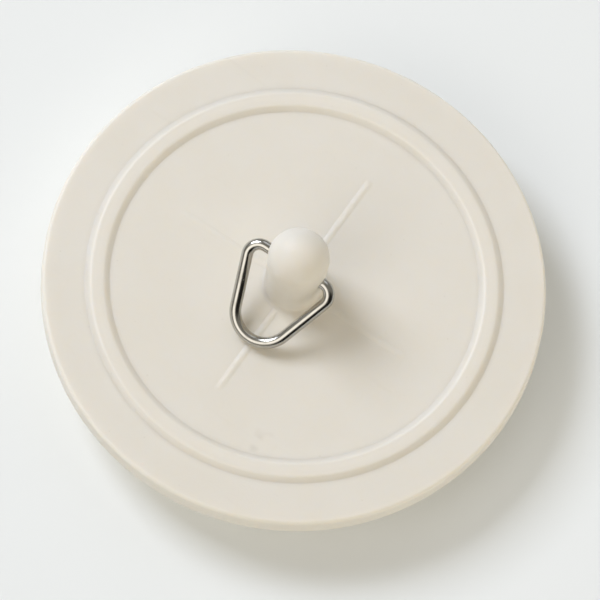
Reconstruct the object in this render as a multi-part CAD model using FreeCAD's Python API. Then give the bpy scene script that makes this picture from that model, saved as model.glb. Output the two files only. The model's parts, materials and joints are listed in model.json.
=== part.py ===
import FreeCAD, Part
import math
import os

# A drain stopper: one rubber moulding with a knob, and a bent wire ring that hinges in the knob.
# Millimetres, +Z up. The origin is the centre of the plug's foot, on the surface that it stands on.
# The ring's hinge axis lies along X. At rest the ring leans down towards -Y, with its tip on a rib.

# Plug, which goes into the drain
plug_land_diameter = 74.0
plug_land_length = 4.0
plug_lead_length = 4.0  # the tapered lead-in below the land
plug_lead_draw_in = 1.5  # how far the lead-in draws in at the foot, on the radius
plug_foot_round = 1.0
plug_foot_wall = 3.0
hollow_draft = 0.5  # how far the hollow narrows from its mouth to its roof, on the radius
hollow_round = 2.0

# Flange, which covers the drain's edge
flange_overhang = 8.0  # out from the plug's land
flange_thickness = 5.0
flange_top_round = 0.6
flange_lower_round = 1.2

# Bead, a raised ring above the plug's wall
bead_inset = 1.85  # from the plug's land in to the middle of the crown
bead_crown_width = 2.3
bead_flank_width = 1.1
bead_height = 0.8
bead_crown_round = 0.4

# Ribs, low webs that cross under the knob
rib_count = 4
rib_length = 18.8  # out from the knob's foot
rib_width = 1.0
rib_height = 0.25

# Knob, a domed post in the middle of the face
knob_foot_diameter = 10.4
knob_dome_diameter = 11.0
knob_height = 19.0
knob_foot_round = 0.8

# Pull ring, bent from round wire
wire_diameter = 2.1
hinge_height = 9.2  # hinge axis above the face
ring_reach = 15.5  # from the hinge axis to the middle of the wire at the tip
arm_slope = 19.3  # degrees between an arm and the ring's middle line
ring_side_offset = 0.6  # the ring sits this far towards -X in its hole
wire_end_gap = 1.6  # between the two wire ends inside the knob

# Clearances
hole_clearance = 0.05  # wire to hole, on the radius
swing_clearance = 0.2  # wire to dome while the ring swings over the knob
corner_clearance = 0.15  # knob to the start of a corner bend
rest_clearance = 0.15  # wire to rib at rest

# Radii and levels of the moulding
land_radius = plug_land_diameter / 2
foot_radius = land_radius - plug_lead_draw_in
hollow_mouth_radius = foot_radius - plug_foot_wall
hollow_roof_radius = hollow_mouth_radius - hollow_draft
flange_radius = land_radius + flange_overhang
bead_radius = land_radius - bead_inset
knob_foot_radius = knob_foot_diameter / 2
dome_radius = knob_dome_diameter / 2
seat_z = plug_lead_length + plug_land_length
face_z = seat_z + flange_thickness
bead_z = face_z + bead_height
dome_z = face_z + knob_height - dome_radius
hinge_z = face_z + hinge_height

# The knob's wall is a cone that runs from the foot to touch the dome, leaning out by this angle
dome_rise = dome_z - face_z
foot_to_dome = math.hypot(knob_foot_radius, dome_rise)
wall_lean = math.atan2(dome_rise, knob_foot_radius) - math.acos(dome_radius / foot_to_dome)
wall_top_z = dome_z - dome_radius * math.sin(wall_lean)

# The ring's shape follows from the knob that it has to swing over and the reach of its tip
wire_radius = wire_diameter / 2
slope = math.radians(arm_slope)
arm_clear_radius = dome_radius + swing_clearance + wire_radius + ring_side_offset
ring_half_width = (arm_clear_radius + (dome_z - hinge_z) * math.sin(slope)) / math.cos(slope)
arms_meet = ring_half_width / math.tan(slope)
tip_bend_radius = (arms_meet - ring_reach) / (1 / math.sin(slope) - 1)
rest_drop = hinge_height - wire_radius - rib_height - rest_clearance
rest_lean = math.asin(rest_drop / ring_reach)
swing_range = 180 + 2 * math.degrees(rest_lean)


def knob_radius(z):
    """Radius of the knob at level z: the leaning wall, then the dome above it."""
    if z < wall_top_z:
        return knob_foot_radius + (z - face_z) * math.tan(wall_lean)
    return math.sqrt(dome_radius ** 2 - (z - dome_z) ** 2)


corner_start = knob_radius(hinge_z) + corner_clearance + ring_side_offset
corner_bend_radius = (ring_half_width - corner_start) * math.tan((math.pi / 2 - slope) / 2)


def rounded_path(corners):
    """Edges through (point, bend radius) corners: straight runs, with a tangent arc at each bend."""
    edges = []
    start = corners[0][0]
    for before, corner, after in zip(corners, corners[1:], corners[2:]):
        point, radius = corner
        back = (before[0] - point).normalize()
        ahead = (after[0] - point).normalize()
        half_angle = back.getAngle(ahead) / 2
        middle = (back + ahead).normalize() if radius else back
        run = radius / math.tan(half_angle)
        bend_start = point + back * run
        bend_end = point + ahead * run
        edges.append(Part.LineSegment(start, bend_start).toShape())
        if radius:
            bend_middle = point + middle * (radius / math.sin(half_angle) - radius)
            edges.append(Part.Arc(bend_start, bend_middle, bend_end).toShape())
        start = bend_end
    edges.append(Part.LineSegment(start, corners[-1][0]).toShape())
    return edges


def on_section(radius, z):
    """A point of the moulding's half section."""
    return FreeCAD.Vector(radius, 0, z)


def on_dome(angle):
    """The point of the dome's outline at an angle up from its equator."""
    return on_section(dome_radius * math.cos(angle), dome_z + dome_radius * math.sin(angle))


def on_ring(side, reach):
    """A point of the ring's plane at rest: side along the hinge axis, reach out from it towards the tip."""
    y = -reach * math.cos(rest_lean)
    z = hinge_z - reach * math.sin(rest_lean)
    return FreeCAD.Vector(side - ring_side_offset, y, z)


def make_moulding():
    """Turns the half section of plug, flange, bead and knob about Z."""
    crown = bead_crown_width / 2
    foot = crown + bead_flank_width
    corners = [
        (on_section(0, seat_z), 0),
        (on_section(hollow_roof_radius, seat_z), hollow_round),
        (on_section(hollow_mouth_radius, 0), 0),
        (on_section(foot_radius, 0), plug_foot_round),
        (on_section(land_radius, plug_lead_length), 0),
        (on_section(land_radius, seat_z), 0),
        (on_section(flange_radius, seat_z), flange_lower_round),
        (on_section(flange_radius, face_z), flange_top_round),
        (on_section(bead_radius + foot, face_z), 0),
        (on_section(bead_radius + crown, bead_z), bead_crown_round),
        (on_section(bead_radius - crown, bead_z), bead_crown_round),
        (on_section(bead_radius - foot, face_z), 0),
        (on_section(knob_foot_radius, face_z), knob_foot_round),
        (on_dome(-wall_lean), 0),
    ]
    top = on_dome(math.pi / 2)
    edges = rounded_path(corners)
    edges.append(Part.Arc(on_dome(-wall_lean), on_dome((math.pi / 2 - wall_lean) / 2), top).toShape())
    edges.append(Part.LineSegment(top, corners[0][0]).toShape())
    section = Part.Face(Part.Wire(edges))
    return section.revolve(FreeCAD.Vector(0, 0, 0), FreeCAD.Vector(0, 0, 1), 360)


def make_rib(index):
    """One rib, rooted in the middle of the flange's thickness and turned to its place round the knob."""
    root = flange_thickness / 2
    reach = knob_foot_radius + rib_length
    corner = FreeCAD.Vector(0, -rib_width / 2, face_z - root)
    rib = Part.makeBox(reach, rib_width, root + rib_height, corner)
    rib.rotate(FreeCAD.Vector(0, 0, 0), FreeCAD.Vector(0, 0, 1), index * 360 / rib_count)
    return rib


def make_stopper_body():
    """The rubber moulding, with its ribs and the cross hole that the ring turns in."""
    ribs = [make_rib(index) for index in range(rib_count)]
    body = make_moulding().fuse(ribs)
    length = 2 * knob_dome_diameter
    start = FreeCAD.Vector(-length / 2, 0, hinge_z)
    hole = Part.makeCylinder(wire_radius + hole_clearance, length, start, FreeCAD.Vector(1, 0, 0))
    return body.cut(hole).removeSplitter()


def make_pull_ring():
    """The wire, carried along its bends from one end in the knob round the tip to the other end."""
    end = wire_end_gap / 2
    corners = [
        (on_ring(-end, 0), 0),
        (on_ring(-ring_half_width, 0), corner_bend_radius),
        (on_ring(0, arms_meet), tip_bend_radius),
        (on_ring(ring_half_width, 0), corner_bend_radius),
        (on_ring(end, 0), 0),
    ]
    path = Part.Wire(rounded_path(corners))
    section = Part.Wire(Part.Circle(corners[0][0], FreeCAD.Vector(1, 0, 0), wire_radius).toShape())
    ring = path.makePipeShell([section], True, True)
    expected = math.pi * wire_radius ** 2 * path.Length
    print("wire length %.2f" % path.Length)
    print("ring volume %.2f, section times length %.2f" % (ring.Volume, expected))
    return ring


os.makedirs("parts", exist_ok=True)
nodes = {"stopper_body": make_stopper_body(), "pull_ring": make_pull_ring()}
for name, shape in nodes.items():
    shape.exportStep("parts/%s.step" % name)
    print("%s: %d solid, valid %s, volume %.1f" % (name, len(shape.Solids), shape.isValid(), shape.Volume))
print("ring half width %.3f" % ring_half_width)
print("corner bend radius %.3f, tip bend radius %.3f" % (corner_bend_radius, tip_bend_radius))
print("ring leans %.3f degrees at rest and swings through %.3f" % (math.degrees(rest_lean), swing_range))
print("hinge axis at z %.3f, face at z %.3f, flange diameter %.2f" % (hinge_z, face_z, 2 * flange_radius))
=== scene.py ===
# %% [markdown]
# # A rubber drain stopper and its wire pull ring
#
# The real object comes apart into two pieces. One is a cream rubber moulding: a plug that drops into a
# drain, a flange that covers the drain's edge, a raised bead, four low ribs and a domed knob. The other is
# a length of bright wire, bent to a triangle, whose two ends turn inside a hole through the knob.
#
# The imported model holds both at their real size, with the hinge between them. This lesson loads it as a
# fixed frame, works out a finer surface for each piece with numpy, gives each a finish made of nodes, and
# then sets up the floor, the light and the camera.

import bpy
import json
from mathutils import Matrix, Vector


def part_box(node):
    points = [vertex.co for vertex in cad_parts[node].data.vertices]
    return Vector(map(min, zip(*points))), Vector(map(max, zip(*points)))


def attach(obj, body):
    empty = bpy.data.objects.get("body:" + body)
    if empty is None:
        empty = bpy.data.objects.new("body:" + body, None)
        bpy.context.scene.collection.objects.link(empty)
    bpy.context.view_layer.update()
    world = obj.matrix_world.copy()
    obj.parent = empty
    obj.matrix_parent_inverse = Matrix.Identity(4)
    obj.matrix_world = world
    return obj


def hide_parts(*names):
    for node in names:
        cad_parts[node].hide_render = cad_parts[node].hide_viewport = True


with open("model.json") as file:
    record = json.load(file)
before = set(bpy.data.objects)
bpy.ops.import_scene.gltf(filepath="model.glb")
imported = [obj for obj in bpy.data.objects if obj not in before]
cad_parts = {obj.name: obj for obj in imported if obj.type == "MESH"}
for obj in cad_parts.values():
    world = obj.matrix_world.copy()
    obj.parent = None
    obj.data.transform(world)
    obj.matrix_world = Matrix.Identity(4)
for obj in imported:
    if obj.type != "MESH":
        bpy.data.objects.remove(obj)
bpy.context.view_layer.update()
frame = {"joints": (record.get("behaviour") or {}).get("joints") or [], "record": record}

# %% [markdown]
# ## Sizes
#
# Blender works in metres, and so does the frame. What the frame already knows is read from it: the levels
# and the plug's land from the mounts, the hinge and the ring's lean from the joint, the outer sizes from
# the moulding's box. The rest are the moulding's own small sizes, written in millimetres where they are
# needed.

# %% Read the main sizes from the frame
import json
import math

import bpy
import numpy as np
from mathutils import Quaternion, Vector

mm = 0.001
mounts = {mount["name"]: mount for mount in frame["record"]["mounts"]}
swing = frame["joints"][0]
body_low, body_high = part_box("stopper_body")
flange_radius = (body_high.x - body_low.x) / 2
knob_top_z = body_high.z
land_radius = mounts["drain_plug"]["dims"]["r_mm"] * mm
land_length = mounts["drain_plug"]["dims"]["length_mm"] * mm
seat_z = mounts["drain_seat"]["pos_m"][2]
hinge_z = swing["pos_m"][2]
rest_lean = math.radians((swing["range_deg"][1] - 180) / 2)
print("flange radius %.2f mm, hinge %.2f mm up" % (flange_radius / mm, hinge_z / mm))
print("the ring leans %.1f degrees at rest" % math.degrees(rest_lean))

# %% [markdown]
# ## An outline with rounded corners
#
# Nothing on a rubber moulding is sharp, because the mould's corners are cut with a round tool. The edges of
# a finished mesh could be bevelled. Here the outline is rounded before it becomes a surface: a profile made
# of straight runs and arcs gives every edge its own radius. The same function later bends the wire.

# %% Work out a rounded outline
def rounded_outline(corners, bends, run_points, arc_points=9):
    """Points of an outline: straight runs between corners, and a tangent arc at each corner that has a bend.

    At a corner whose half angle is h, an arc of radius b starts b / tan(h) before the corner, and its centre
    is b / sin(h) along the bisector. With p and q the arms from the centre to the arc's ends, and w the angle
    between them, its points are centre + (sin((1 - t) w) p + sin(t w) q) / sin(w).
    """
    corners = np.asarray(corners, float)
    pieces = []
    start = corners[0]
    for before, corner, after, bend, count in zip(corners, corners[1:], corners[2:], bends[1:], run_points):
        back = (before - corner) / np.linalg.norm(before - corner)
        ahead = (after - corner) / np.linalg.norm(after - corner)
        half = math.acos(np.clip(back @ ahead, -1, 1)) / 2
        bend_start = corner + back * bend / math.tan(half)
        bend_end = corner + ahead * bend / math.tan(half)
        pieces.append(np.linspace(start, bend_start, count, endpoint=False))
        if bend:
            centre = corner + (back + ahead) / np.linalg.norm(back + ahead) * bend / math.sin(half)
            t = np.linspace(0, 1, arc_points, endpoint=False)[:, None]
            w = math.pi - 2 * half
            arms = np.sin((1 - t) * w) * (bend_start - centre) + np.sin(t * w) * (bend_end - centre)
            pieces.append(centre + arms / math.sin(w))
        start = bend_end
    pieces.append(np.linspace(start, corners[-1], run_points[-1]))
    return np.concatenate(pieces)

# %% [markdown]
# ## The moulding's section
#
# The moulding is round, so half of its section says nearly all of its shape. The outline starts under the
# roof of the hollow plug, at the small nib where the rubber entered the mould. It runs down inside the wall
# and round the foot, up the tapered lead-in and the land, out along the flange's seat, over the rim and the
# bead, and up the knob. The knob's wall leans out a little until it touches the dome. Two points on it mark
# where the block of cells round the cross hole starts and ends.

# %% Levels and radii of the section
foot_radius = land_radius - 1.5 * mm
hollow_mouth_radius = foot_radius - 3.0 * mm
hollow_roof_radius = hollow_mouth_radius - 0.5 * mm
face_z = seat_z + 5.0 * mm
bead_radius = land_radius - 1.85 * mm
bead_crown = 1.15 * mm
bead_foot = bead_crown + 1.1 * mm
bead_z = face_z + 0.8 * mm
knob_foot_radius = 5.2 * mm
dome_radius = 5.5 * mm
dome_z = knob_top_z - dome_radius
dome_rise = dome_z - face_z
to_dome = math.hypot(knob_foot_radius, dome_rise)
wall_lean = math.atan2(dome_rise, knob_foot_radius) - math.acos(dome_radius / to_dome)
print("the knob's wall leans %.2f degrees" % math.degrees(wall_lean))


def wall_radius(z):
    """Radius of the knob's leaning wall at level z: the foot's radius plus the rise times the slope."""
    return knob_foot_radius + (z - face_z) * math.tan(wall_lean)

# %% Set out the section
hole_block = 2.0 * mm
nib_radius = 1.3 * mm
nib_z = seat_z - 0.35 * mm
section_plan = [
    # radius, level, bend at this corner, points on the run that follows it
    (0.0, nib_z, 0.0, 4),
    (nib_radius, nib_z, 0.15 * mm, 2),
    (nib_radius + 0.2 * mm, seat_z, 0.1 * mm, 26),
    (hollow_roof_radius, seat_z, 2.0 * mm, 8),
    (hollow_mouth_radius, 0.0, 0.6 * mm, 4),
    (foot_radius, 0.0, 1.0 * mm, 6),
    (land_radius, seat_z - land_length, 3.0 * mm, 5),
    (land_radius, seat_z, 0.5 * mm, 6),
    (flange_radius, seat_z, 1.2 * mm, 6),
    (flange_radius, face_z, 0.7 * mm, 10),
    (bead_radius + bead_foot, face_z, 0.45 * mm, 3),
    (bead_radius + bead_crown, bead_z, 1.1 * mm, 3),
    (bead_radius - bead_crown, bead_z, 1.1 * mm, 3),
    (bead_radius - bead_foot, face_z, 0.45 * mm, 60),
    (knob_foot_radius, face_z, 0.8 * mm, 14),
    (wall_radius(hinge_z - hole_block), hinge_z - hole_block, 0.0, 36),
    (wall_radius(hinge_z + hole_block), hinge_z + hole_block, 0.0, 6),
    (dome_radius * math.cos(wall_lean), dome_z - dome_radius * math.sin(wall_lean), 0.0, 0),
]
below_dome = rounded_outline([row[:2] for row in section_plan], [row[2] for row in section_plan],
                             [row[3] for row in section_plan[:-1]])
dome_angle = np.linspace(-wall_lean, math.pi / 2, 40)[1:, None]
dome = np.hstack([dome_radius * np.cos(dome_angle), dome_z + dome_radius * np.sin(dome_angle)])
dome[-1, 0] = 0.0
section = np.concatenate([below_dome, dome])
print("the section has", len(section), "points")

# %% [markdown]
# ## Round the axis, with ribs
#
# Turning the section gives a grid: one parameter runs along the section, the other round the axis. The four
# ribs are raised on that grid rather than added as boxes, so that they melt into the face as moulded webs
# do. A rib is only about a millimetre wide, so the columns of the grid crowd together near the four rib
# directions. The edges of the ribs are worn soft, and the two ribs along the hinge can hardly be seen any
# more. Real rubber is never quite flat either: slow waves a few hundredths of a millimetre high keep the
# light on the face from looking machined.

# %% Choose the columns of the grid
rib_columns = 12
rib_sector = math.radians(6.5)
quarter = np.concatenate([
    np.linspace(0, rib_sector, rib_columns, endpoint=False),
    np.linspace(rib_sector, math.pi / 2 - rib_sector, 40, endpoint=False),
    np.linspace(math.pi / 2 - rib_sector, math.pi / 2, rib_columns, endpoint=False),
])
around = np.concatenate([quarter + turn * math.pi / 2 for turn in (-1, 0, 1, 2)])
print("the grid has", len(around), "columns")

# %% Heights that are added to the face
rib_reach = 24.6 * mm
rib_half_width = 0.6 * mm
rib_height = 0.18 * mm
rib_fade = 2.0 * mm


def smooth_step(low, high, value):
    """0 below low, 1 above high, and 3 t^2 - 2 t^3 between them."""
    t = np.clip((value - low) / (high - low), 0, 1)
    return t * t * (3 - 2 * t)


def rib_rise(radius, angle):
    """Height of the ribs: a rounded ridge across the nearest rib's line, fading out at the rib's end.

    The two ribs along the hinge have half the height, so the height goes with (1 + sin^2(angle)) / 2.
    """
    turn = (angle + math.pi / 4) % (math.pi / 2) - math.pi / 4
    across = radius * np.sin(turn) / rib_half_width
    ridge = np.clip(1 - across ** 2, 0, None) ** 0.8
    height = rib_height * (1 + np.sin(angle) ** 2) / 2
    return height * ridge * (1 - smooth_step(rib_reach - rib_fade, rib_reach, radius))


def face_wave(radius, angle):
    """Slow waves of the face: products and sums of sines of x and y, growing from nothing near the knob."""
    x, y = radius * np.cos(angle), radius * np.sin(angle)
    waves = np.sin(x / (7.1 * mm) + 0.6) * np.sin(y / (8.3 * mm) + 1.1)
    waves = waves + 0.8 * np.sin((x - y) / (12.7 * mm) + 2.0)
    return 0.022 * mm * waves * smooth_step(9 * mm, 16 * mm, radius)


def rim_wave(radius, angle):
    """The flange's slight warp: three slow swings round the rim, growing with the cube of the radius."""
    swings = np.sin(2 * angle + 0.7) + 0.6 * np.sin(3 * angle + 2.1) + 0.3 * np.sin(5 * angle + 0.4)
    return 0.07 * mm * swings * (radius / flange_radius) ** 3

# %% Turn the section and add the heights
radius_grid = np.repeat(section[:, :1], len(around), axis=1)
level_grid = np.repeat(section[:, 1:], len(around), axis=1)
angle_grid = np.repeat(around[None], len(section), axis=0)
rim_row = int(np.argmax(section[:, 0]))
past_rim = np.arange(len(section))[:, None] > rim_row
on_top = past_rim & (level_grid < bead_z + 0.01 * mm) & (radius_grid > knob_foot_radius + 0.8 * mm)
on_face = on_top & (radius_grid < bead_radius - bead_foot)
warped = on_top | (radius_grid > land_radius + 0.01 * mm)
lift = np.where(on_face, rib_rise(radius_grid, angle_grid), 0)
lift = lift + np.where(on_top, face_wave(radius_grid, angle_grid), 0)
lift = lift + np.where(warped, rim_wave(radius_grid, angle_grid), 0)
x_grid = radius_grid * np.cos(angle_grid)
y_grid = radius_grid * np.sin(angle_grid)
moulding_grid = np.stack([x_grid, y_grid, level_grid + lift], axis=2)
print("heights added to the face: %.3f to %.3f mm" % (lift.min() / mm, lift.max() / mm))

# %% [markdown]
# ## From grids to meshes
#
# A grid becomes a mesh when each of its cells is written as a face of four points. Grids that meet share an
# edge, so their points are welded: points that agree to a tenth of a micrometre become one. At the tip of
# the dome and the middle of the nib, cells close to triangles. Two sums show that a mesh is sound. If every
# edge is walked once in each direction, the surface is closed and no face is turned round. If the volume
# that its faces enclose is positive, they all point outwards.

# %% Turn grids into welded meshes
def cell_faces(rows, columns):
    """The four point numbers of each cell of a grid that closes on itself along its columns."""
    i, j = np.meshgrid(np.arange(rows - 1), np.arange(columns), indexing="ij")
    k = (j + 1) % columns
    return np.stack([i * columns + j, i * columns + k, (i + 1) * columns + k, (i + 1) * columns + j], axis=2)


def sound_numbers(points, quads, triangles):
    """(edges not walked once each way, enclosed volume), the volume as the sum of p . (q x r) / 6."""
    walked = np.concatenate([np.stack([f, np.roll(f, -1, axis=1)], axis=2).reshape(-1, 2)
                             for f in (quads, triangles)])
    pairs, times = np.unique(np.sort(walked, axis=1), axis=0, return_counts=True)
    one_way = len(walked) - len(np.unique(walked, axis=0))
    p, q, r = points[np.concatenate([quads[:, :3], quads[:, [0, 2, 3]], triangles])].transpose(1, 0, 2)
    return int((times != 2).sum()) + one_way, float((p * np.cross(q, r)).sum() / 6)


def welded_mesh(name, grids):
    """One mesh from (points, faces) pairs, and the number of the point that each welded point came from."""
    points = np.concatenate([part.reshape(-1, 3) for part, cells in grids])
    starts = np.cumsum([0] + [part.size // 3 for part, cells in grids])
    faces = np.concatenate([cells.reshape(-1, 4) + start for (part, cells), start in zip(grids, starts)])
    keys, first, renumber = np.unique(np.round(points / (0.0001 * mm)), axis=0, return_index=True,
                                      return_inverse=True)
    points, faces = points[first], renumber.reshape(-1)[faces]
    shut = faces == np.roll(faces, -1, axis=1)
    quads = faces[shut.sum(axis=1) == 0]
    closing = faces[shut.sum(axis=1) == 1]
    turn = np.argmax(shut[shut.sum(axis=1) == 1], axis=1)[:, None]
    triangles = np.take_along_axis(closing, (turn + 1 + np.arange(3)) % 4, axis=1)
    faults, volume = sound_numbers(points, quads, triangles)
    mesh = bpy.data.meshes.new(name)
    mesh.from_pydata(points.tolist(), [], quads.tolist() + triangles.tolist())
    mesh.shade_smooth()
    print(name, "has", len(mesh.polygons), "faces,", faults, "faulty edges")
    print(name, "encloses %.0f cubic mm" % (volume / mm ** 3))
    return mesh, first

# %% [markdown]
# ## The cross hole
#
# The ring turns in a hole through the knob. A boolean cut would leave long thin faces and a sharp edge, so
# the hole is woven into the grid. A block of cells is left out on each side of the knob. A patch of rings
# joins the block's square edge to the hole's round lip, rolls over the lip and runs along the bore to the
# middle of the knob. The patch of the other side is its mirror image, with its faces turned round again.

# %% Shape one side of the hole
hole_radius = 1.1 * mm
lip_round = 0.25 * mm
block_columns = rib_columns + 8
block_rows = np.flatnonzero((np.abs(section[:, 1] - hinge_z) < 1.001 * hole_block) & (section[:, 0] < 6 * mm))
low_row, high_row = block_rows[[0, -1]]
left_column = len(quarter) - block_columns
right_column = len(quarter) + block_columns


def block_edge(grid):
    """The points round the block on the +X side: along its foot, up, back along its head and down again."""
    return np.concatenate([
        grid[low_row, left_column:right_column],
        grid[low_row:high_row, right_column],
        grid[high_row, right_column:left_column:-1],
        grid[high_row:low_row:-1, left_column],
    ])


def out_to_wall(place):
    """(x, y, z) on the knob's wall for (y, z): x is the root of the wall's radius squared less y squared."""
    x = np.sqrt(wall_radius(place[..., 1]) ** 2 - place[..., 0] ** 2)
    return np.concatenate([x[..., None], place], axis=-1)


def hole_patch(grid):
    """Rings from the block's edge to the lip, over the lip's round and along the bore to the knob's middle.

    On the wall, (y, z) slides from the edge to a circle round the hinge axis while x stays on the wall. Over
    the lip, the circle shrinks with the sine of the roll, and x falls by one less its cosine. In the bore,
    x falls evenly to nothing.
    """
    edge = block_edge(grid)
    aim = np.arctan2(edge[:, 2] - hinge_z, edge[:, 1])
    circle = np.stack([np.cos(aim), np.sin(aim)], axis=1)
    axis = np.array([0, hinge_z])
    t = np.linspace(0, 1, 9)[:, None, None]
    on_wall = out_to_wall((1 - t) * edge[:, 1:] + t * (axis + circle * (hole_radius + lip_round)))
    on_wall[0] = edge
    roll = np.linspace(0, math.pi / 2, 8)[1:, None, None]
    lip = out_to_wall(axis + circle * (hole_radius + lip_round * (1 - np.sin(roll))))
    lip[..., :1] -= lip_round * (1 - np.cos(roll))
    inward = np.ones((7, 1, 3))
    inward[:, 0, 0] = np.linspace(1, 0, 8)[1:]
    return np.concatenate([on_wall, lip, lip[-1] * inward])


patch = hole_patch(moulding_grid)
print("the hole's patch has", patch.shape[0], "rings of", patch.shape[1], "points")

# %% Weave both sides into the moulding
patch_faces = cell_faces(*patch.shape[:2])
main_faces = cell_faces(*moulding_grid.shape[:2])
left_out = np.zeros(main_faces.shape[:2], bool)
left_out[low_row:high_row, left_column:right_column] = True
left_out |= np.roll(left_out, 2 * len(quarter), axis=1)
moulding_mesh, moulding_first = welded_mesh("stopper_moulding", [
    (moulding_grid, main_faces[~left_out]),
    (patch, patch_faces),
    (patch * [-1, 1, 1], patch_faces[..., ::-1]),
])
stopper = bpy.data.objects.new("stopper_moulding", moulding_mesh)
bpy.context.scene.collection.objects.link(stopper)
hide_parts("stopper_body")
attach(stopper, "stopper")

# %% [markdown]
# ## The pull ring
#
# The ring is one piece of round wire. A curve with a round bevel would give the same tube, but a circle
# carried along the path by numpy gives exact bends, rounded ends, and a place along and round the wire for
# every point, which the finish needs later. The path lies in one plane, so the circle's two axes are the
# plane's normal and the path's own side direction, and the tube never twists. The arms pass clear of the
# dome when the ring swings over, and the corner bends start just outside the knob.

# %% Set out the wire's path
wire_radius = 1.05 * mm
ring_reach = 15.5 * mm
ring_side_offset = 0.6 * mm
wire_end_gap = 1.6 * mm
arm_slope = math.radians(19.3)
swing_clearance = 0.2 * mm
corner_clearance = 0.15 * mm
arm_clear_radius = dome_radius + swing_clearance + wire_radius + ring_side_offset
ring_half_width = (arm_clear_radius + (dome_z - hinge_z) * math.sin(arm_slope)) / math.cos(arm_slope)
arms_meet = ring_half_width / math.tan(arm_slope)
tip_bend = (arms_meet - ring_reach) / (1 / math.sin(arm_slope) - 1)
corner_start = wall_radius(hinge_z) + corner_clearance + ring_side_offset
corner_bend = (ring_half_width - corner_start) * math.tan((math.pi / 2 - arm_slope) / 2)
wire_corners = [(-wire_end_gap / 2, 0), (-ring_half_width, 0), (0, arms_meet), (ring_half_width, 0),
                (wire_end_gap / 2, 0)]
wire_path = rounded_outline(wire_corners, [0, corner_bend, tip_bend, corner_bend, 0], [12, 24, 24, 12],
                            arc_points=40)
print("corner bend %.2f mm, tip bend %.2f mm" % (corner_bend / mm, tip_bend / mm))

# %% Carry a circle along the path
wire_sides = 40
end_round = 0.3 * mm


def wire_tube(path):
    """Points of a tube round a flat path, as (side, reach, rise), and their places along and round the wire.

    A point is centre + r s (cos(a) side + sin(a) normal). The scale s is 1 along the path. At both ends it
    falls with the cosine of a quarter turn while the centre moves on with its sine, which rounds the cut wire.
    """
    step = np.gradient(path, axis=0)
    along = step / np.linalg.norm(step, axis=1)[:, None]
    quarter_turn = np.linspace(0, math.pi / 2, 6)[1:]
    reach = np.concatenate([-np.sin(quarter_turn[::-1]), np.zeros(len(path)), np.sin(quarter_turn)])
    scale = np.concatenate([np.cos(quarter_turn[::-1]), np.ones(len(path)), np.cos(quarter_turn)])
    scale[[0, -1]] = 0
    ends = len(quarter_turn)
    along = np.pad(along, ((ends, ends), (0, 0)), mode="edge")
    spine = np.pad(path, ((ends, ends), (0, 0)), mode="edge") + along * end_round * reach[:, None]
    side = np.stack([-along[:, 1], along[:, 0]], axis=1)
    a = np.linspace(0, 2 * math.pi, wire_sides, endpoint=False)
    across = wire_radius * scale[:, None] * np.cos(a)
    rise = wire_radius * scale[:, None] * np.sin(a)
    flat = spine[:, None] + across[..., None] * side[:, None]
    length = np.cumsum(np.linalg.norm(np.diff(spine, axis=0, prepend=spine[:1]), axis=1))
    place = np.stack([np.repeat(length[:, None], wire_sides, axis=1), across, rise], axis=2)
    return np.concatenate([flat, rise[..., None]], axis=2), place


def lean_ring(tube):
    """From the ring's plane to the row frame: side goes along X, and reach and rise turn down by the lean."""
    side, reach, rise = np.moveaxis(tube, 2, 0)
    y = -reach * math.cos(rest_lean) + rise * math.sin(rest_lean)
    z = hinge_z - reach * math.sin(rest_lean) - rise * math.cos(rest_lean)
    return np.stack([side - ring_side_offset, y, z], axis=2)


tube, wire_place = wire_tube(wire_path)
ring_grid = lean_ring(tube)
ring_mesh, ring_first = welded_mesh("wire_pull_ring", [(ring_grid, cell_faces(*ring_grid.shape[:2]))])
print("wire length %.1f mm" % (wire_place[-1, 0, 0] / mm))

# %% Put the ring on its body
place_on_wire = ring_mesh.attributes.new("place_on_wire", "FLOAT_VECTOR", "POINT")
place_on_wire.data.foreach_set("vector", wire_place.reshape(-1, 3)[ring_first].ravel())
ring = bpy.data.objects.new("wire_pull_ring", ring_mesh)
bpy.context.scene.collection.objects.link(ring)
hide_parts("pull_ring")
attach(ring, "ring")

# %% [markdown]
# ## Writing finishes as sums
#
# A finish is a small calculation that the renderer repeats at every point of a surface. In the node editor
# it is a net of boxes and lines. In Python it can read like the sum that it is: a small class wraps one
# output of a node, and adding or multiplying two of them puts a Math node into the net. Colours don't go
# through Math nodes, which would turn them grey, but through Mix nodes.

# %% A value that builds Math nodes
class Value:
    """One output of a node. Sums with other values or with plain numbers add Math nodes."""

    def __init__(self, finish, socket):
        self.finish = finish
        self.socket = socket

    def __add__(self, other):
        return self.finish.math("ADD", self, other)

    def __sub__(self, other):
        return self.finish.math("SUBTRACT", self, other)

    def __rsub__(self, other):
        return self.finish.math("SUBTRACT", other, self)

    def __mul__(self, other):
        return self.finish.math("MULTIPLY", self, other)

    def __pow__(self, other):
        return self.finish.math("POWER", self, other)

    def __abs__(self):
        return self.finish.math("ABSOLUTE", self, 0.0)

    __radd__ = __add__
    __rmul__ = __mul__

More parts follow.
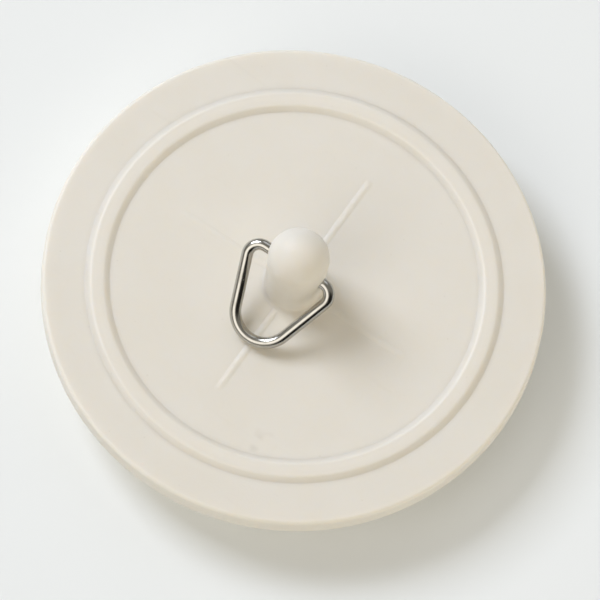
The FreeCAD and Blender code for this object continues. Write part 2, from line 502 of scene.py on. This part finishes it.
# %% A finish that adds nodes
class Finish:
    """A material and the net of nodes that works out its surface."""

    def __init__(self, name):
        self.material = bpy.data.materials.new(name)
        self.material.use_nodes = True
        self.tree = self.material.node_tree

    def fill(self, node, sockets):
        """Links a value to a socket, or sets a plain number or colour on it."""
        for name, content in sockets.items():
            if isinstance(content, Value):
                self.tree.links.new(content.socket, node.inputs[name])
            else:
                node.inputs[name].default_value = content

    def node(self, kind, settings, sockets, output=0):
        """Adds any node: first its settings, then its sockets. Returns the output that is asked for."""
        node = self.tree.nodes.new(kind)
        for name, setting in settings.items():
            setattr(node, name, setting)
        self.fill(node, sockets)
        return Value(self, node.outputs[output])

    def math(self, operation, first, second):
        return self.node("ShaderNodeMath", {"operation": operation}, {0: first, 1: second})

    def mix(self, share, first, second):
        """A colour that goes from the first to the second as share goes from 0 to 1."""
        return self.node("ShaderNodeMix", {"data_type": "RGBA"}, {0: share, 6: first, 7: second}, output=2)

    def step(self, value, low, high):
        """0 below low, 1 above high, and a smooth step between them."""
        limits = {"Value": value, "From Min": low, "From Max": high}
        return self.node("ShaderNodeMapRange", {"interpolation_type": "SMOOTHSTEP"}, limits)

    def cloud(self, place, size, detail=2.0):
        """Soft noise about 0.5, whose blobs are about as large as size."""
        return self.node("ShaderNodeTexNoise", {}, {"Vector": place, "Scale": 1 / size, "Detail": detail})

    def stretch(self, place, turn, scale):
        """A place turned and scaled, which draws a noise out along one direction."""
        return self.node("ShaderNodeMapping", {}, {"Vector": place, "Rotation": turn, "Scale": scale})

    def parts(self, place):
        """The x, y and z of a place."""
        split = self.tree.nodes.new("ShaderNodeSeparateXYZ")
        self.fill(split, {"Vector": place})
        return [Value(self, socket) for socket in split.outputs]

    def surface(self, sockets):
        """Fills the sockets of the shader."""
        self.fill(self.tree.nodes["Principled BSDF"], sockets)
        print(self.material.name, "has", len(self.tree.nodes), "nodes")

# %% [markdown]
# ## Cream rubber
#
# The rubber is cream coloured and has a satin skin. It isn't one colour: the pigment is slightly mottled,
# the crown of the bead is rubbed paler, painted shade with a little grime darkens the corners at the feet of
# the bead and the knob, a few scuffs and specks cross the face, and one faint smudge lies near the bead. A
# painted image could hold all that for one view. Masks worked out from the place on the moulding hold it for
# every side, and follow the shape because they use the same radii. The grain of the mould is a bump, because
# it is far finer than the mesh. Light goes a little way into the rubber and comes out beside the place where
# it entered, which softens the shade on the knob.

# %% Where the rubber is mottled, rubbed, grimy and painted with shade in its corners
rubber = Finish("cream_rubber")
place = rubber.node("ShaderNodeTexCoord", {}, {}, output="Object")
x, y, z = rubber.parts(place)
radius = (x * x + y * y) ** 0.5


def near(value, middle, width):
    """1 at the middle, falling smoothly to 0 at a width away on both sides."""
    return 1 - rubber.step(abs(value - middle), 0.0, width)


uneven = rubber.cloud(place, 3.5 * mm, detail=4.0)
above_seat = rubber.step(z, seat_z + 2 * mm, seat_z + 4 * mm)
mottle = rubber.step(rubber.cloud(place, 11 * mm, detail=3.0), 0.35, 0.68)
bead_corners = near(radius, bead_radius + bead_foot, 0.9 * mm) + near(radius, bead_radius - bead_foot, 0.9 * mm)
knob_corner = near(radius, knob_foot_radius + 0.3 * mm, 1.1 * mm)
# Painted shade: the corners at the feet of the bead and the knob are darkened where shade falls, with a little
# grime.
corner_shade_and_grime = (bead_corners + knob_corner) * above_seat * uneven
rubbed = near(radius, bead_radius, 1.4 * mm) * rubber.step(z, face_z + 0.3 * mm, bead_z)
scuff_lie = rubber.stretch(place, (0, 0, 0.6), (60, 620, 200))
scuffs = rubber.step(rubber.cloud(scuff_lie, 1.0, detail=3.0), 0.66, 0.8)
speck_size = rubber.node("ShaderNodeTexVoronoi", {}, {"Vector": place, "Scale": 1 / (3.2 * mm)})
specks = 1 - rubber.step(speck_size, 0.03, 0.07)
smudge_place = Vector((11.4 * mm, -27.4 * mm, face_z))
from_smudge = rubber.node("ShaderNodeVectorMath", {"operation": "DISTANCE"}, {0: place, 1: smudge_place},
                          output="Value")
ragged = from_smudge + 8 * mm * rubber.cloud(place, 3 * mm, detail=1.0)
smudge = 1 - rubber.step(ragged, 3.5 * mm, 6.5 * mm)

# %% Colour, gloss and grain of the rubber
cream = (0.745, 0.71, 0.64, 1)
warm_cream = (0.725, 0.68, 0.59, 1)
rubbed_cream = (0.78, 0.74, 0.665, 1)
# A dark brown for the real scuffs, specks and smudge, and also for the painted shade in the corners.
dirt_and_shade_brown = (0.40, 0.335, 0.245, 1)
colour = rubber.mix(mottle * 0.3, cream, warm_cream)
colour = rubber.mix(rubbed * 0.5, colour, rubbed_cream)
# Painted shade, with a little grime, darkens the corners at the feet of the bead and the knob.
colour = rubber.mix(corner_shade_and_grime * 0.12, colour, dirt_and_shade_brown)
colour = rubber.mix(scuffs * 0.03, colour, dirt_and_shade_brown)
colour = rubber.mix(specks * 0.1, colour, dirt_and_shade_brown)
colour = rubber.mix(smudge * 0.24, colour, dirt_and_shade_brown)
grain = rubber.cloud(place, 0.35 * mm, detail=3.0) + 1.5 * rubber.cloud(place, 1.6 * mm)
bump = rubber.node("ShaderNodeBump", {}, {"Strength": 0.6, "Distance": 0.02 * mm, "Height": grain})
rubber.surface({
    "Base Color": colour,
    "Roughness": 0.44 + 0.12 * uneven + 0.1 * scuffs - 0.06 * rubbed,
    "Normal": bump,
    "IOR": 1.5,
    "Subsurface Weight": 1.0,
    "Subsurface Radius": (1.0, 0.92, 0.8),
    "Subsurface Scale": 1.7 * mm,
})
moulding_mesh.materials.append(rubber.material)

# %% [markdown]
# ## Bright wire
#
# The wire is plated and drawn, so it is a mirror with fine streaks along its length. Streaks that follow a
# bent wire can't come from its place in space. They come from the place on the wire that was stored with
# each point: the length along it, and where the point is in its round section.

# %% Streaks and tarnish of the wire
plated = Finish("bright_wire")
lie = plated.node("ShaderNodeAttribute", {"attribute_name": "place_on_wire"}, {}, output="Vector")
drawn = plated.stretch(lie, (0, 0, 0), (120, 3200, 3200))
streaks = plated.cloud(drawn, 1.0, detail=3.0)
tarnish = plated.step(plated.cloud(lie, 2.6 * mm, detail=4.0), 0.5, 0.75)
bright = (0.50, 0.485, 0.45, 1)
dull = (0.37, 0.35, 0.31, 1)
bump = plated.node("ShaderNodeBump", {}, {"Strength": 0.5, "Distance": 0.004 * mm, "Height": streaks})
plated.surface({
    "Base Color": plated.mix(tarnish * 0.35, bright, dull),
    "Metallic": 1.0,
    "Roughness": 0.12 + 0.1 * streaks + 0.1 * tarnish,
    "Normal": bump,
})
ring_mesh.materials.append(plated.material)

# %% [markdown]
# ## Floor
#
# The stopper stands on a plain pale surface. A flat sheet is enough, with a faint unevenness in its colour
# so that the shadow doesn't fall on a perfect void. A small share of what the camera and the wire see of it
# is its own colour, whatever light falls there. That lifts the shadow without sending more light to the
# stopper.

# %% Lay the floor
floor_half = 1.5
floor_mesh = bpy.data.meshes.new("floor")
floor_corners = [(-floor_half, -floor_half, 0), (floor_half, -floor_half, 0),
                 (floor_half, floor_half, 0), (-floor_half, floor_half, 0)]
floor_mesh.from_pydata(floor_corners, [], [(0, 1, 2, 3)])
floor = bpy.data.objects.new("floor", floor_mesh)
bpy.context.scene.collection.objects.link(floor)
paper = Finish("pale_floor")
sheet = paper.node("ShaderNodeTexCoord", {}, {}, output="Object")
shade = paper.mix(paper.cloud(sheet, 30 * mm, detail=4.0), (0.80, 0.815, 0.805, 1), (0.79, 0.805, 0.795, 1))
paper.surface({"Base Color": shade, "Roughness": 0.75})

# %% Lift the floor's shadow for the camera
glow_share = 0.11
ray = paper.tree.nodes.new("ShaderNodeLightPath")
camera_ray, glossy_ray, clear_ray = [Value(paper, ray.outputs[name]) for name in
                                     ("Is Camera Ray", "Is Glossy Ray", "Is Transmission Ray")]
lit = Value(paper, paper.tree.nodes["Principled BSDF"].outputs[0])
glow = paper.node("ShaderNodeEmission", {}, {"Color": shade, "Strength": 1.0})
share = glow_share * (camera_ray + glossy_ray + clear_ray)
lifted = paper.node("ShaderNodeMixShader", {}, {0: share, 1: lit, 2: glow})
paper.fill(paper.tree.nodes["Material Output"], {"Surface": lifted})
floor_mesh.materials.append(paper.material)

# %% [markdown]
# ## Light
#
# A large soft box, the key, stands on the left and throws the soft shadows, and a weak one stands behind.
# Two fills on the right and in front lift the shaded sides. They throw no shadow and don't show in the
# metal, so they do nothing else. Bright wire shows the room that it stands in, and in an even grey room it
# would look like grey paint. So the world has a bright window to the left of the camera and a dark doorway
# to the right, which give the wire its bright and dark streaks. All the levels add up to about 1 on the
# floor, so that a colour renders about as it is written.

# %% Set the soft boxes
def direction(compass, elevation):
    """The unit vector towards a compass angle (0 is +X, 90 is +Y) and an elevation, in degrees."""
    a, e = math.radians(compass), math.radians(elevation)
    return Vector((math.cos(a) * math.cos(e), math.sin(a) * math.cos(e), math.sin(e)))


lamp_distance = 3.4


def soft_box(name, compass, elevation, size, level, tint):
    """A square area light that faces the stopper from a compass angle and an elevation.

    A floor of colour c under light E looks like c E / pi, and a light of power P at a distance d and
    elevation e gives E = P sin(e) / (pi d^2). So a level of E / pi takes a power of level pi^2 d^2 / sin(e).
    """
    toward = direction(compass, elevation)
    lamp = bpy.data.lights.new(name, "AREA")
    lamp.shape = "SQUARE"
    lamp.size = size
    lamp.color = tint
    lamp.energy = level * math.pi ** 2 * lamp_distance ** 2 / toward.z
    box = bpy.data.objects.new(name, lamp)
    box.location = toward * lamp_distance
    box.rotation_mode = "QUATERNION"
    box.rotation_quaternion = (-toward).to_track_quat("-Z", "Y")
    bpy.context.scene.collection.objects.link(box)
    print(name, "has a power of %.1f W" % lamp.energy)
    return box


cool, warm = (0.94, 1.0, 1.13), (1.08, 1.0, 0.84)
soft_box("key_box", compass=172, elevation=45, size=1.5, level=0.475, tint=cool)
soft_box("back_box", compass=100, elevation=48, size=1.9, level=0.05, tint=cool)
right_fill = soft_box("right_fill", compass=20, elevation=28, size=1.9, level=0.11, tint=warm)
front_fill = soft_box("front_fill", compass=325, elevation=20, size=1.9, level=0.085, tint=warm)
for fill in (right_fill, front_fill):
    fill.data.use_shadow = False
    fill.visible_glossy = False

# %% Surround it with a soft room
class Room(Finish):
    """The world and the net of nodes that works out its brightness."""

    def __init__(self, name):
        self.world = bpy.data.worlds.new(name)
        self.world.use_nodes = True
        self.tree = self.world.node_tree
        self.toward = self.node("ShaderNodeTexCoord", {}, {}, output="Generated")

    def patch(self, compass, elevation, inner, outer):
        """1 within an inner angle of a direction, falling to 0 at an outer one: a step of the cosine."""
        sockets = {0: self.toward, 1: direction(compass, elevation)}
        cosine = self.node("ShaderNodeVectorMath", {"operation": "DOT_PRODUCT"}, sockets, output="Value")
        return self.step(cosine, math.cos(math.radians(outer)), math.cos(math.radians(inner)))


room = Room("room")
walls, window, doorway = (0.28, 0.268, 0.238, 1), (1.9, 1.82, 1.68, 1), (0.02, 0.018, 0.016, 1)
glow = room.mix(room.patch(compass=255, elevation=43, inner=10, outer=30), walls, window)
glow = room.mix(room.patch(compass=335, elevation=24, inner=28, outer=48), glow, doorway)
room.fill(room.tree.nodes["Background"], {"Color": glow})
bpy.context.scene.world = room.world

# %% [markdown]
# ## Camera
#
# The stopper was photographed from well above, with the camera turned a little about its own axis. From the
# outlines of the rim, the bead and the ring come the angles, the scale and the place of the flange's centre
# in the picture. A long lens far away keeps the ellipses true, and the aim puts that centre in its place,
# so the lens needs no shift.

# %% Place the camera
camera_azimuth = math.radians(24.8)
camera_elevation = math.radians(69.75)
camera_roll = math.radians(10.0)
camera_distance = 2.0
picture_size = 600
pixels_per_mm = 5.619
centre_in_picture = (294.1, 284.6)
back = Vector((math.sin(camera_azimuth) * math.cos(camera_elevation),
               -math.cos(camera_azimuth) * math.cos(camera_elevation), math.sin(camera_elevation)))
turn = (-back).to_track_quat("-Z", "Y") @ Quaternion((0, 0, 1), camera_roll)
right, up = turn @ Vector((1, 0, 0)), turn @ Vector((0, 1, 0))
aim = Vector((0, 0, face_z))
aim += right * ((picture_size / 2 - centre_in_picture[0]) / pixels_per_mm * mm)
aim -= up * ((picture_size / 2 - centre_in_picture[1]) / pixels_per_mm * mm)
lens = bpy.data.cameras.new("camera")
lens.sensor_width = 36
lens.lens = lens.sensor_width * camera_distance * pixels_per_mm / (picture_size * mm)
camera = bpy.data.objects.new("camera", lens)
camera.location = aim + back * camera_distance
camera.rotation_mode = "QUATERNION"
camera.rotation_quaternion = turn
bpy.context.scene.collection.objects.link(camera)
bpy.context.scene.camera = camera
bpy.context.scene.view_settings.view_transform = "Standard"
print("focal length %.0f mm" % lens.lens)
